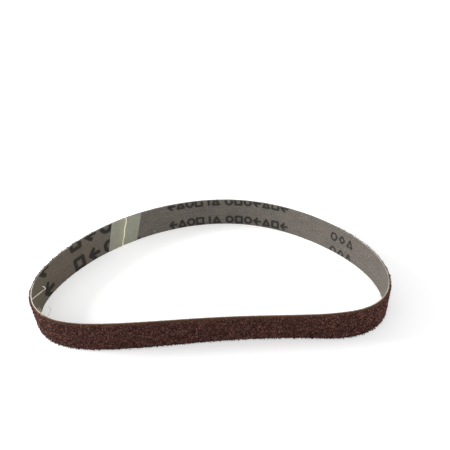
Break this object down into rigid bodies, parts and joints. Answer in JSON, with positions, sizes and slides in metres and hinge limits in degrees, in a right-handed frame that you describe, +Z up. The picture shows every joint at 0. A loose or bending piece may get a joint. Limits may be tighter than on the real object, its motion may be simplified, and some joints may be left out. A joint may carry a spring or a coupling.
{
  "type": "sanding belt",
  "caption": "Narrow coarse sanding belt standing on its edge in a loose kidney-shaped loop, with a slanted butt splice taped on the inside.",
  "frame": {"origin": "middle of the belt's outer box, on the surface that it stands on", "axes": "+X along the loop's long side towards its right end, +Y from the nearly straight front to the arched back, +Z up across the belt's width"},
  "size_m": [0.2076, 0.1174, 0.02],
  "materials": {
    "backing_cloth": "stiff finished cotton and polyester cloth, matt, grey brown",
    "abrasive_coat": "coarse dark red-brown aluminium oxide grains in cured resin",
    "splice_tape": "satin grey-green polyester film"
  },
  "bodies": {
    "root": {"backing_cloth": "backing_cloth", "abrasive_coat": "abrasive_coat", "splice_tape": "splice_tape"}
  },
  "joints": []
}
